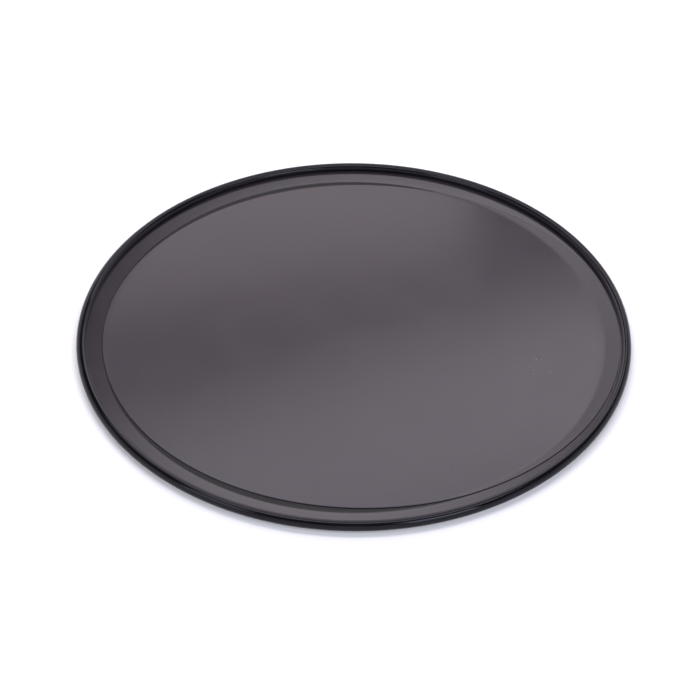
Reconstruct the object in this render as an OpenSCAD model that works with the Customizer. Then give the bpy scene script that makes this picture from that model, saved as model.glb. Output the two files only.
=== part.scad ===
// Round serving tray: a shallow pressed dish in thin sheet, its edge rolled over a stiffening wire
// into a glossy bead, with a slightly oval satin lining bonded over the floor.
// Millimetres, +Z up. The origin is the centre of the underside, where the tray rests on a table.

/* [Tray] */
// Overall diameter, across the outside of the rolled edge
tray_d = 356; // [280:1:460]
// Overall height, from the table to the top of the rolled edge
tray_h = 8.2; // [7.6:0.1:10.5]
// Thickness of the sheet
sheet_t = 1; // [0.7:0.1:1.2]

/* [Floor and flank] */
// Width of the sloping flank ring, from the edge of the flat floor to the outside of the rolled edge
flank_w = 19; // [18:0.5:30]
// Radius of the soft bend between the floor and the flank, at the sheet's mid surface
cove_r = 18; // [8:0.5:20]

/* [Rolled edge] */
// Outside diameter of the round bead
bead_d = 6.2; // [5:0.1:7]
// Radial clearance between the stiffening wire and the curl around it
wire_gap = 0.05; // [0.02:0.01:0.15]
// Width of the slit left under the bead, where the curled edge stops short of the flank
curl_slit = 0.4; // [0.2:0.1:0.6]

/* [Lining] */
// Mean distance from the lining's edge to the outside of the tray along X, its long way
margin_x = 11.3; // [11.3:0.1:30]
// Mean distance from the lining's edge to the outside of the tray along Y
margin_y = 20; // [12:0.1:40]
// How far the lining is bonded off centre, towards +X
lining_shift = 4.9; // [0:0.1:4.9]
// Thickness of the satin lining
lining_t = 0.4; // [0.3:0.1:0.6]
// Thickness of the adhesive film under the lining
film_t = 0.1; // [0.05:0.05:0.2]
// How far the film stops inside the edge of the lining
film_inset = 0.5; // [0.2:0.1:2]

/* [Hidden] */
$fn = 128;
tray_r = tray_d / 2;
bead_r = bead_d / 2;
bore_r = bead_r - sheet_t;
wire_r = bore_r - wire_gap;
bead_centre_r = tray_r - bead_r;
bead_centre_z = tray_h - bead_r;
floor_r = tray_r - flank_w;

// The sheet bends up from the floor over an arc about (floor_r, cove_centre_z), then runs straight,
// tangent to that arc, into the curl's mid line at join_angle below level on the bead's inner side.
join_angle = 60;
curl_mid_r = bead_r - sheet_t / 2;
join_run = bead_centre_r - curl_mid_r * cos(join_angle) - floor_r;
join_rise = bead_centre_z - curl_mid_r * sin(join_angle) - sheet_t / 2;
cove_centre_z = sheet_t / 2 + cove_r;
join_drop = cove_r - join_rise;
flank_angle = 90 - atan(join_drop / join_run) - acos(cove_r / norm([join_run, join_drop]));

// The slit is just past the flank's end, on the underside of the bead.
slit_start = -82;
slit_end = slit_start + 2 * asin(curl_slit / 2 / curl_mid_r);
flank_end_r = bead_centre_r + curl_mid_r * cos(slit_start);

// The lining and its film follow the dish up to the bead's inner side at most.
lining_limit_r = tray_r - bead_d;
lining_a = tray_r - margin_x;
lining_b = tray_r - margin_y;
cutter_h = 2 * tray_h;

// The two functions below place points relative to the bend's centre, (floor_r, cove_centre_z), on the
// surface that lies z above the underside of the floor.
// Where that surface leaves the bend for the straight flank
function bend_end(z) = (cove_centre_z - z) * [sin(flank_angle), -cos(flank_angle)];

// Where that surface is on the straight flank, at the distance x outwards
function flank_point(z, x) = [x, bend_end(z)[1] + (x - bend_end(z)[0]) * tan(flank_angle)];

// Section of a layer that follows the dish, from z_low to z_high above the underside of the floor
module dish_section(z_low, z_high, end_r) {
    reach = 2 * cove_centre_z;
    end_x = end_r - floor_r;
    translate([0, z_low])
        square([floor_r, z_high - z_low]);
    translate([floor_r, cove_centre_z]) {
        intersection() {
            difference() {
                circle(r = cove_centre_z - z_low);
                circle(r = cove_centre_z - z_high);
            }
            polygon([[0, 0], [0, -reach], [reach * tan(flank_angle), -reach]]);
        }
        polygon([bend_end(z_low), flank_point(z_low, end_x), flank_point(z_high, end_x), bend_end(z_high)]);
    }
}

// The curled edge's section: a round tube wall, slit on its underside
module curl_section() {
    far = 2 * bead_r;
    translate([bead_centre_r, bead_centre_z])
        difference() {
            circle(r = bead_r);
            polygon([[0, 0],
                     [far * cos(slit_start), far * sin(slit_start)],
                     [far * cos(slit_end), far * sin(slit_end)]]);
        }
}

// Upright oval column that trims a layer to the lining's outline, inset all round
module lining_outline(inset) {
    translate([lining_shift, 0, 0])
        scale([lining_a - inset, lining_b - inset, 1])
            cylinder(r = 1, h = cutter_h);
}

// Pressed sheet dish: floor, flank and rolled edge in one piece
module tray_shell() {
    color([0.03, 0.03, 0.035])
        rotate_extrude()
            difference() {
                union() {
                    dish_section(0, sheet_t, flank_end_r);
                    curl_section();
                }
                translate([bead_centre_r, bead_centre_z])
                    circle(r = bore_r);
            }
}

// Round wire ring that the edge is rolled over
module rim_wire() {
    color([0.62, 0.63, 0.65])
        rotate_extrude()
            translate([bead_centre_r, bead_centre_z])
                circle(r = wire_r);
}

// Thin adhesive film between the dish and the lining
module lining_film() {
    color([0.55, 0.5, 0.4])
        intersection() {
            rotate_extrude()
                dish_section(sheet_t, sheet_t + film_t, lining_limit_r);
            lining_outline(film_inset);
        }
}

// Satin lining, flat over the floor and climbing the flank where its edge reaches it
module floor_lining() {
    color([0.2, 0.19, 0.205])
        intersection() {
            rotate_extrude()
                dish_section(sheet_t + film_t, sheet_t + film_t + lining_t, lining_limit_r);
            lining_outline(0);
        }
}

tray_shell();
rim_wire();
lining_film();
floor_lining();
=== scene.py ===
"""Round serving tray with a rolled, wire-stiffened rim and a satin-lined floor, built round the CAD frame.

The shell and the wire are fine lathe meshes about the tray's axis, and the lining and its film are oval
sheets that follow the dish. All are in metres, in the CAD frame. Sizes come from the frame's boxes, and the
few that the boxes can't give are named below.
"""
import math

import bpy
from mathutils import Matrix, Quaternion, Vector


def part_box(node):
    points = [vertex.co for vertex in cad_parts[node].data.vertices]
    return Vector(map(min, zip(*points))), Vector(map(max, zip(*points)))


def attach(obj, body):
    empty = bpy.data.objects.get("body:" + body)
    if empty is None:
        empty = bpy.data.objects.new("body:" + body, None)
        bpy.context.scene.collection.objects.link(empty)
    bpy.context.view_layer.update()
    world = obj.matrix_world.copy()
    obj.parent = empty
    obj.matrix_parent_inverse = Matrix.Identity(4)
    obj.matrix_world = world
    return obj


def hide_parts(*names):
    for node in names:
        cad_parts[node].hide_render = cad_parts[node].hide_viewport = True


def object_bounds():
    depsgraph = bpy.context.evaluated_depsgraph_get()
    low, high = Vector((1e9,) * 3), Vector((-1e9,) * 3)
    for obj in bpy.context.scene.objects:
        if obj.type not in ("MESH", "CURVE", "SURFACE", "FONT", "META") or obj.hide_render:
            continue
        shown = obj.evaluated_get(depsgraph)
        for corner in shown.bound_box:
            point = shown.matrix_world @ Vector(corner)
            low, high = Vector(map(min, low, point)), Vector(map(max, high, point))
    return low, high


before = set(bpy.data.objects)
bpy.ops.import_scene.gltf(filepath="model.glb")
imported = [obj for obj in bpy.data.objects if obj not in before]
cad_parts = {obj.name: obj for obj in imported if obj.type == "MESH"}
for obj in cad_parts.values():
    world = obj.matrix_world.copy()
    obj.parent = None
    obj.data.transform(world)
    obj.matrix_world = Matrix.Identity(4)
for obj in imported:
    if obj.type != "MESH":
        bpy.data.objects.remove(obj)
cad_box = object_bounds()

MM = 0.001
SEGMENTS = 600                  # steps round the shell and the oval sheets
WIRE_SEGMENTS = 300
ROOT = "root"

# ---------------------------------------------------------------- sizes from the frame

rim_r = min(cad_box[1][0], cad_box[1][1], -cad_box[0][0], -cad_box[0][1])
rim_top = cad_box[1][2]
wire_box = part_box("rim_wire")
film_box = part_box("lining_film")
lining_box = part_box("floor_lining")

wire_r = (wire_box[1][2] - wire_box[0][2]) / 2
bead_centre_z = (wire_box[1][2] + wire_box[0][2]) / 2
bead_r = rim_top - bead_centre_z
bead_centre_r = rim_r - bead_r
sheet_t = film_box[0][2]
film_top = lining_box[0][2]
bore_r = bead_r - sheet_t

FLANK_WIDTH = 19 * MM           # from the edge of the flat floor to the outside of the bead
COVE_R = 18 * MM                # bend between the floor and the straight flank, at the sheet's mid surface
LINING_T = 0.4 * MM
LINING_EDGE_ROUND = 0.2 * MM
CURL_END_ANGLE = -75            # degrees round the bead, 0 outward and 90 up: where the curl stops
FLANK_END_ANGLE = -84           # where the flank's sheet meets the curl on the underside
JOIN_ANGLE = 60                 # degrees below level, on the bead's inner side, as in the CAD model
JOIN_ROUND = 0.12 * MM          # the crease between flank and bead
TOOL_LINES = 9                  # shallow spun lines round the upper flank
TOOL_LINE_PITCH = 0.85 * MM
TOOL_LINE_DEPTH = 0.006 * MM
BASE_LINES = 34                 # faint spun lines on the underside
BASE_LINE_DEPTH = 0.01 * MM
BASE_LINE_SHARE = 0.86          # share of the flat underside that the lines cover, from its edge inward
SCUFF_PLACE = (118 * MM, -36 * MM)      # a small patch of pale specks on the lining
SCUFF_SPREAD = 11 * MM
PAINTED_SHADE_END = 2.0 * MM           # how far past the flat floor the bend is painted dull and dark, as painted shade
PAINTED_SHADE_FADE = 1.6 * MM          # width over which the painted shade on the flank fades out beyond that

floor_r = rim_r - FLANK_WIDTH
lining_top = film_top + LINING_T

# ---------------------------------------------------------------- the dish's section

curl_mid_r = bead_r - sheet_t / 2
join_r = bead_centre_r - curl_mid_r * math.cos(math.radians(JOIN_ANGLE))
join_z = bead_centre_z - curl_mid_r * math.sin(math.radians(JOIN_ANGLE))
flank_run = join_r - floor_r
flank_rise = join_z - sheet_t / 2
cove_centre_z = sheet_t / 2 + COVE_R
join_drop = COVE_R - flank_rise
flank_angle = (math.pi / 2 - math.atan(join_drop / flank_run)
               - math.acos(COVE_R / math.hypot(flank_run, join_drop)))


def dish_z(r, height):
    """Height at radius r of a surface that follows the dish, and lies at height over the flat floor."""
    if r <= floor_r:
        return height
    radius = cove_centre_z - height
    bend_end_r = floor_r + radius * math.sin(flank_angle)
    if r <= bend_end_r:
        return cove_centre_z - math.sqrt(radius ** 2 - (r - floor_r) ** 2)
    return cove_centre_z - radius * math.cos(flank_angle) + (r - bend_end_r) * math.tan(flank_angle)


def steps(start, end, count):
    """count + 1 evenly spaced numbers from start to end."""
    return [start + (end - start) * i / count for i in range(count + 1)]


def bead_point(radius, degrees):
    a = math.radians(degrees)
    return (bead_centre_r + radius * math.cos(a), bead_centre_z + radius * math.sin(a))


def bead_meets_flank():
    """Angle round the bead, in degrees from outward, where the flank's upper face runs into it."""
    low, high = 180.0, 269.0
    for _ in range(40):
        mid = (low + high) / 2
        r, z = bead_point(bead_r, mid)
        if z > dish_z(r, sheet_t):
            low = mid
        else:
            high = mid
    return low


# ---------------------------------------------------------------- lathe meshes


def skin(rings, marks=None, closed=False):
    """Faces between successive rings of vertex numbers, and each face's material index.

    A ring of one vertex closes to a point.
    """
    faces, slots = [], []
    count = len(rings)
    for k in range(count if closed else count - 1):
        a, b = rings[k], rings[(k + 1) % count]
        around = max(len(a), len(b))
        for i in range(around):
            j = (i + 1) % around
            if len(a) == 1:
                faces.append((a[0], b[j], b[i]))
            elif len(b) == 1:
                faces.append((a[i], a[j], b[0]))
            else:
                faces.append((a[i], a[j], b[j], b[i]))
            slots.append(marks[k] if marks else 0)
    return faces, slots


def mesh_piece(name, verts, faces, slots, sharp_degrees=28):
    mesh = bpy.data.meshes.new(name)
    mesh.from_pydata(verts, [], faces)
    mesh.polygons.foreach_set("material_index", slots)
    mesh.update()
    mesh.shade_smooth()
    mesh.set_sharp_from_angle(angle=math.radians(sharp_degrees))
    piece = bpy.data.objects.new(name, mesh)
    bpy.context.collection.objects.link(piece)
    return piece


def lathe(name, profile, marks=None, closed=False, segments=SEGMENTS):
    """A surface of revolution through (r, z) points. A point on the axis closes it there.

    marks gives the material index of each band between one point and the next.
    """
    verts, rings = [], []
    for r, z in profile:
        if r < 1e-7:
            rings.append([len(verts)])
            verts.append((0.0, 0.0, z))
            continue
        start = len(verts)
        for i in range(segments):
            a = 2 * math.pi * i / segments
            verts.append((r * math.cos(a), r * math.sin(a), z))
        rings.append(list(range(start, start + segments)))
    return mesh_piece(name, verts, *skin(rings, marks, closed))


# the last mark is the dull dark coat painted as shade in the bend, which also lies under the lining
FLANK, BEAD, UNDERSIDE, PAINTED_SHADE = 0, 1, 2, 3


def shell_profile():
    """The shell's section: over the floor from the axis, up the flank, round the curl and back underneath."""
    points, marks = [], []

    def add(r, z, mark):
        points.append((r, z))
        marks.append(mark)

    for r in steps(0.0, floor_r - 4 * MM, 6):
        add(r, sheet_t, PAINTED_SHADE)
    for r in steps(floor_r - 3 * MM, floor_r, 4):
        add(r, sheet_t, PAINTED_SHADE)
    meet = bead_meets_flank()
    meet_r, _ = bead_point(bead_r, meet)
    lines_start = meet_r - JOIN_ROUND - TOOL_LINES * TOOL_LINE_PITCH
    # the first stretch of the bend gets the coat painted dark as shade
    for r in steps(floor_r, floor_r + PAINTED_SHADE_END, 10)[1:]:
        add(r, dish_z(r, sheet_t), PAINTED_SHADE)
    marks[-1] = FLANK
    for r in steps(floor_r + PAINTED_SHADE_END, lines_start, 16)[1:]:
        add(r, dish_z(r, sheet_t), FLANK)
    for r in steps(lines_start, meet_r - JOIN_ROUND, TOOL_LINES * 8)[1:]:
        wave = 0.5 - 0.5 * math.cos(2 * math.pi * (r - lines_start) / TOOL_LINE_PITCH)
        add(r, dish_z(r, sheet_t) - TOOL_LINE_DEPTH * wave, FLANK)
    marks[-1] = BEAD
    for a in steps(meet - math.degrees(JOIN_ROUND / bead_r), CURL_END_ANGLE, 72):
        add(*bead_point(bead_r, a), BEAD)
    for a in steps(CURL_END_ANGLE, 360 + FLANK_END_ANGLE, 48):
        add(*bead_point(bore_r, a), UNDERSIDE)
    end_r, _ = bead_point(bead_r, 360 + FLANK_END_ANGLE)
    for r in steps(end_r, floor_r, 28):
        add(r, dish_z(r, 0.0), UNDERSIDE)
    line_band = floor_r * BASE_LINE_SHARE
    for r in steps(floor_r, floor_r - line_band, BASE_LINES * 6)[1:]:
        wave = 0.5 - 0.5 * math.cos(2 * math.pi * (floor_r - r) / line_band * BASE_LINES)
        add(r, BASE_LINE_DEPTH * wave, UNDERSIDE)
    for r in steps(floor_r - line_band, 0.0, 5)[1:]:
        add(r, 0.0, UNDERSIDE)
    return points, marks


def dish_sheet(name, box, low, high, edge_round):
    """A thin oval sheet lying in the dish, from low to high over the flat floor, its upper edge rounded."""
    half_x, half_y = (box[1][0] - box[0][0]) / 2, (box[1][1] - box[0][1]) / 2
    centre_x, centre_y = (box[1][0] + box[0][0]) / 2, (box[1][1] + box[0][1]) / 2
    rings = []                  # (inset from the outline, height over the flat floor)
    for share in steps(1.0, 0.08, 46):
        rings.append((half_y * share, high))
    rings += [(half_y * share, high) for share in steps(0.06, 0.005, 8)]
    for a in steps(90, 0, 7):
        drop = edge_round * (1 - math.sin(math.radians(a)))
        rings.append((edge_round * (1 - math.cos(math.radians(a))), high - drop))
    rings.append((0.0, low))
    rings += [(half_y * share, low) for share in steps(0.02, 1.0, 24)]
    verts, loops = [], []
    for inset, height in rings:
        if inset > half_y - 1e-9:
            loops.append([len(verts)])
            verts.append((centre_x, centre_y, height))
            continue
        loop = []
        shrink = 1 - inset / half_y
        for i in range(SEGMENTS):
            t = 2 * math.pi * i / SEGMENTS
            x, y = centre_x + half_x * shrink * math.cos(t), centre_y + half_y * shrink * math.sin(t)
            loop.append(len(verts))
            verts.append((x, y, dish_z(math.hypot(x, y), height)))
        loops.append(loop)
    return mesh_piece(name, verts, *skin(loops[::-1]))


# ---------------------------------------------------------------- materials

FLANK_TONE = (0.026, 0.0205, 0.026)
PALE_SPECK = (0.12, 0.113, 0.117)
DARK_SPECK = (0.012, 0.011, 0.012)


class Graph:
    """A short way to build one node material."""

    def __init__(self, name):
        self.material = bpy.data.materials.new(name)
        self.material.use_nodes = True
        self.nodes = self.material.node_tree.nodes
        self.links = self.material.node_tree.links
        self.nodes.clear()
        self.shader = self.nodes.new("ShaderNodeBsdfPrincipled")
        out = self.nodes.new("ShaderNodeOutputMaterial")
        self.links.new(self.shader.outputs["BSDF"], out.inputs["Surface"])
        self.place = self.nodes.new("ShaderNodeTexCoord").outputs["Object"]

    def set(self, **values):
        for key, value in values.items():
            self.shader.inputs[key.replace("_", " ")].default_value = value

    def link(self, source, target):
        self.links.new(source, target)
        return source

    def noise(self, scale, detail=3.0, roughness=0.5, place=None):
        n = self.nodes.new("ShaderNodeTexNoise")
        n.inputs["Scale"].default_value = scale
        n.inputs["Detail"].default_value = detail
        n.inputs["Roughness"].default_value = roughness
        self.link(place or self.place, n.inputs["Vector"])
        return n.outputs["Fac"]

    def ramp(self, source, low, high, start=0.0, end=1.0):
        """source mapped from start..end to low..high, numbers."""
        n = self.nodes.new("ShaderNodeMapRange")
        for key, value in (("From Min", start), ("From Max", end), ("To Min", low), ("To Max", high)):
            n.inputs[key].default_value = value
        self.link(source, n.inputs["Value"])
        return n.outputs["Result"]

    def colours(self, source, *stops):
        """source through a colour ramp of (position, (r, g, b)) stops."""
        n = self.nodes.new("ShaderNodeValToRGB")
        ramp = n.color_ramp
        while len(ramp.elements) < len(stops):
            ramp.elements.new(0.5)
        for element, (position, colour) in zip(ramp.elements, stops):
            element.position = position
            element.color = (*colour, 1.0)
        self.link(source, n.inputs["Fac"])
        return n.outputs["Color"]

    def maths(self, operation, a, b=None):
        n = self.nodes.new("ShaderNodeMath")
        n.operation = operation
        for slot, value in enumerate((a, b)):
            if value is None:
                continue
            if isinstance(value, (int, float)):
                n.inputs[slot].default_value = value
            else:
                self.link(value, n.inputs[slot])
        return n.outputs["Value"]

    def radius(self, x=0.0, y=0.0):
        """Distance in plan from the point (x, y), in metres: from the tray's axis when none is given."""
        parts = self.nodes.new("ShaderNodeSeparateXYZ")
        self.link(self.place, parts.inputs["Vector"])
        dx = self.maths("SUBTRACT", parts.outputs["X"], x)
        dy = self.maths("SUBTRACT", parts.outputs["Y"], y)
        squares = self.maths("ADD", self.maths("MULTIPLY", dx, dx), self.maths("MULTIPLY", dy, dy))
        return self.maths("SQRT", squares)

    def ring_noise(self, lines_per_metre, detail=2.0):
        """Noise that changes only with the distance from the axis, as spun or turned lines do."""
        joined = self.nodes.new("ShaderNodeCombineXYZ")
        self.link(self.radius(), joined.inputs["X"])
        return self.noise(lines_per_metre, detail, 0.6, joined.outputs["Vector"])

    def bump(self, height, distance, strength=1.0, before=None):
        n = self.nodes.new("ShaderNodeBump")
        n.inputs["Strength"].default_value = strength
        n.inputs["Distance"].default_value = distance
        self.link(height, n.inputs["Height"])
        if before is not None:
            self.link(before, n.inputs["Normal"])
        return n.outputs["Normal"]

    def blend(self, mask, under, over):
        """The colour under, covered by the plain colour over where mask is 1."""
        n = self.nodes.new("ShaderNodeMix")
        n.data_type = "RGBA"
        self.link(mask, n.inputs["Factor"])
        self.link(under, n.inputs[6])
        n.inputs[7].default_value = (*over, 1.0)
        return n.outputs[2]

    def specks(self, scale, threshold, x=0.0, y=0.0, spread=1.0):
        """A mask of small scattered specks, kept within spread metres of the point (x, y)."""
        dots = self.ramp(self.noise(scale, 1.0), 0.0, 1.0, threshold, threshold + 0.04)
        return self.maths("MULTIPLY", dots, self.ramp(self.radius(x, y), 1.0, 0.0, spread * 0.6, spread))

    def finish(self, colour=None, roughness=None, normal=None):
        for source, key in ((colour, "Base Color"), (roughness, "Roughness"), (normal, "Normal")):
            if source is not None:
                self.link(source, self.shader.inputs[key])
        return self.material


def gloss_black():
    """Deep gloss coat of the rolled edge: nearly black, with faint orange peel and a few hazy marks."""
    g = Graph("gloss_black_coat")
    g.set(IOR=1.5, Specular_IOR_Level=0.2, Specular_Tint=(0.9, 0.88, 1.0, 1.0))
    tone = g.colours(g.noise(60, 4), (0.3, (0.0035, 0.0035, 0.004)), (0.75, (0.007, 0.007, 0.0085)))
    haze = g.ramp(g.noise(90, 5, 0.65), 0.07, 0.16, 0.45, 0.8)
    peel = g.bump(g.noise(700, 2), 0.02 * MM, 0.25)
    return g.finish(tone, haze, peel)


def flank_black():
    """Satin coat of the flank, with fine lines left by the spinning tool, and painted shade making it darker
    next to the bend.
    """
    g = Graph("flank_coat")
    g.set(IOR=1.5)
    lines = g.ring_noise(1500, 3)
    fade_start = floor_r + PAINTED_SHADE_END
    # painted shade: the flank's colour falls to 0.15 of itself towards the bend
    bend_shade_fade = g.ramp(g.radius(), 0.15, 1.0, fade_start, fade_start + PAINTED_SHADE_FADE)
    shade = g.maths("MULTIPLY", g.ramp(lines, 0.88, 1.1, 0.25, 0.8), bend_shade_fade)
    tone = g.colours(shade, (0.0, (0.0, 0.0, 0.0)), (1.0, FLANK_TONE))
    rough = g.ramp(g.noise(25, 3), 0.15, 0.18, 0.3, 0.75)
    normal = g.bump(lines, 0.02 * MM, 0.5)
    normal = g.bump(g.noise(1600, 2), 0.01 * MM, 0.3, normal)
    return g.finish(tone, rough, normal)


def painted_shade_black():
    """Painted shade in the bend, between the lining's edge and the flank: dull black that reflects weakly."""
    g = Graph("painted_shade_coat")
    g.set(IOR=1.5, Specular_IOR_Level=0.2)
    tone = g.colours(g.ring_noise(900, 2), (0.2, (0.005, 0.0045, 0.005)), (0.8, (0.007, 0.0065, 0.007)))
    rough = g.ramp(g.noise(40, 3), 0.3, 0.36, 0.3, 0.75)
    return g.finish(tone, rough)


def underside_black():
    """Satin black underside with turned lines."""
    g = Graph("underside_coat")
    g.set(IOR=1.5)
    lines = g.ring_noise(900, 3)
    tone = g.colours(lines, (0.2, (0.012, 0.012, 0.013)), (0.85, (0.026, 0.025, 0.027)))
    rough = g.ramp(g.noise(45, 5, 0.6), 0.34, 0.5, 0.3, 0.7)
    normal = g.bump(lines, 0.03 * MM, 0.5)
    return g.finish(tone, rough, normal)


def satin_lining():
    """Charcoal satin lining: very fine grain, slight mottling, a patch of pale specks and a few dark ones."""
    g = Graph("satin_lining")
    g.set(IOR=1.45)
    mottle = g.noise(14, 5, 0.55)
    tone = g.colours(mottle, (0.3, (0.034, 0.0265, 0.033)), (0.7, (0.038, 0.0295, 0.037)))
    tone = g.blend(g.specks(600, 0.7, *SCUFF_PLACE, SCUFF_SPREAD), tone, PALE_SPECK)
    tone = g.blend(g.specks(330, 0.81), tone, DARK_SPECK)
    rough = g.ramp(g.noise(30, 4), 0.22, 0.25, 0.3, 0.7)
    grain = g.bump(g.noise(2600, 3, 0.7), 0.02 * MM, 0.35)
    return g.finish(tone, rough, grain)


def drawn_wire():
    """Bright drawn wire with faint draw marks."""
    g = Graph("drawn_wire")
    g.set(Metallic=1.0)
    tone = g.colours(g.noise(300, 4), (0.3, (0.48, 0.48, 0.5)), (0.8, (0.62, 0.63, 0.65)))
    rough = g.ramp(g.noise(900, 3), 0.25, 0.42)
    return g.finish(tone, rough, g.bump(g.noise(1800, 2), 0.02 * MM, 0.3))


def dried_adhesive():
    """Amber-grey adhesive film with trapped bubbles."""
    g = Graph("dried_adhesive")
    tone = g.colours(g.noise(260, 4), (0.35, (0.26, 0.22, 0.15)), (0.75, (0.38, 0.33, 0.24)))
    rough = g.ramp(g.noise(500, 3), 0.3, 0.6)
    return g.finish(tone, rough, g.bump(g.noise(900, 3), 0.03 * MM, 0.5))


# ---------------------------------------------------------------- pieces


def finish_piece(piece, node, slot, *materials):
    for material in materials:
        piece.data.materials.append(material)
    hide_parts(node)
    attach(piece, ROOT)


def build_tray():
    profile, marks = shell_profile()
    shell = lathe("tray_shell_spun", profile, marks)
    # the fourth coat is painted shade for the bend
    coats = (flank_black(), gloss_black(), underside_black(), painted_shade_black())      # in the order of the marks
    finish_piece(shell, "tray_shell", "shell_coat", *coats)

    ring = [bead_point(wire_r, a) for a in steps(360, 0, 40)[:-1]]
    wire = lathe("rim_wire_ring", ring, closed=True, segments=WIRE_SEGMENTS)
    finish_piece(wire, "rim_wire", "wire_steel", drawn_wire())

    film = dish_sheet("lining_film_layer", film_box, sheet_t, film_top, 0.0)
    finish_piece(film, "lining_film", "film_adhesive", dried_adhesive())

    lining = dish_sheet("floor_lining_sheet", lining_box, film_top, lining_top, LINING_EDGE_ROUND)
    finish_piece(lining, "floor_lining", "lining_satin", satin_lining())


# ---------------------------------------------------------------- studio

CAMERA_DISTANCE = 1.0
CAMERA_ELEVATION = 41.66
CAMERA_ROLL = 0.445
CAMERA_AIM = Vector((-2.39 * MM, -20.19 * MM, 0.0))
SENSOR = 36.0
LENS = 80.425

FLOOR_HALF_WIDTH = 8.0
FLOOR_GLOW = 0.1
WALL_TOP, WALL_FADE = 0.54, 0.06       # sine of the elevation where the pale wall ends
WALL_GLOW = (1.26, 1.17, 1.28)
CEILING_GLOW = (0.043, 0.043, 0.05)


def build_camera():
    e, roll = math.radians(CAMERA_ELEVATION), math.radians(CAMERA_ROLL)
    back = Vector((0.0, -math.cos(e), math.sin(e)))
    right = Vector((1.0, 0.0, 0.0))
    up = back.cross(right)
    turned_right = right * math.cos(roll) + up * math.sin(roll)
    turned_up = up * math.cos(roll) - right * math.sin(roll)
    place = CAMERA_AIM + back * CAMERA_DISTANCE
    data = bpy.data.cameras.new("camera")
    data.lens = LENS
    data.sensor_width = SENSOR
    data.clip_start, data.clip_end = 0.05, 50.0
    camera = bpy.data.objects.new("camera", data)
    bpy.context.collection.objects.link(camera)
    axes = Matrix((turned_right, turned_up, back)).transposed().to_4x4()
    camera.matrix_world = Matrix.Translation(place) @ axes
    bpy.context.scene.camera = camera


def softbox(name, azimuth, elevation, distance, width, height, glow, colour, tilt=0.0):
    """A rectangular soft light that faces the tray, tilted in its own plane.

    Azimuth 0 is +X and 90 is the back. glow is its brightness, where a white surface is 1.
    """
    a, e = math.radians(azimuth), math.radians(elevation)
    data = bpy.data.lights.new(name, "AREA")
    data.shape = "RECTANGLE"
    data.size, data.size_y = width, height
    data.energy = glow * math.pi * width * height
    data.color = colour
    light = bpy.data.objects.new(name, data)
    light.location = Vector((math.cos(e) * math.cos(a), math.cos(e) * math.sin(a), math.sin(e))) * distance
    facing = (-light.location).to_track_quat("-Z", "Y")
    light.rotation_euler = (facing @ Quaternion((0.0, 0.0, 1.0), math.radians(tilt))).to_euler()
    bpy.context.collection.objects.link(light)


def build_floor():
    size = FLOOR_HALF_WIDTH
    mesh = bpy.data.meshes.new("studio_floor")
    corners = [(-size, -size, 0), (size, -size, 0), (size, size, 0), (-size, size, 0)]
    mesh.from_pydata(corners, [], [(0, 1, 2, 3)])
    floor = bpy.data.objects.new("studio_floor", mesh)
    bpy.context.collection.objects.link(floor)
    material = bpy.data.materials.new("studio_white")
    material.use_nodes = True
    shader = material.node_tree.nodes["Principled BSDF"]
    shader.inputs["Base Color"].default_value = (0.9, 0.9, 0.9, 1.0)
    shader.inputs["Roughness"].default_value = 1.0
    shader.inputs["Specular IOR Level"].default_value = 0.0
    shader.inputs["Emission Color"].default_value = (1.0, 1.0, 1.0, 1.0)
    shader.inputs["Emission Strength"].default_value = FLOOR_GLOW
    mesh.materials.append(material)


def build_world():
    """A dark room with a pale band of wall low down, all round."""
    world = bpy.data.worlds.new("studio_room")
    world.use_nodes = True
    nodes, links = world.node_tree.nodes, world.node_tree.links
    place = nodes.new("ShaderNodeTexCoord")
    parts = nodes.new("ShaderNodeSeparateXYZ")
    ramp = nodes.new("ShaderNodeValToRGB")
    ramp.color_ramp.interpolation = "EASE"
    ramp.color_ramp.elements[0].position = WALL_TOP - WALL_FADE
    ramp.color_ramp.elements[0].color = (*WALL_GLOW, 1.0)
    ramp.color_ramp.elements[1].position = WALL_TOP + WALL_FADE
    ramp.color_ramp.elements[1].color = (*CEILING_GLOW, 1.0)
    links.new(place.outputs["Generated"], parts.inputs["Vector"])
    links.new(parts.outputs["Z"], ramp.inputs["Fac"])
    links.new(ramp.outputs["Color"], nodes["Background"].inputs["Color"])
    bpy.context.scene.world = world



def build_studio():
    build_floor()
    build_world()
    softbox("overhead", 90, 88, 0.85, 0.9, 0.3, 4.9, (0.98, 0.93, 1.0))
    softbox("back_slanted", 87, 53, 0.75, 0.8, 0.24, 2.8, (0.97, 0.93, 1.0), tilt=20)
    softbox("back_low", 105, 28, 0.53, 0.5, 0.16, 1.5, (1.0, 0.93, 1.0))
    softbox("front_right", -58, 39, 0.8, 0.3, 0.3, 6.2, (0.75, 0.85, 1.0))
    softbox("front_left", -140, 36, 0.8, 0.3, 0.3, 3.65, (0.8, 0.88, 1.0))
    view = bpy.context.scene.view_settings
    view.view_transform = "Standard"
    view.look = "None"


build_tray()
build_camera()
build_studio()
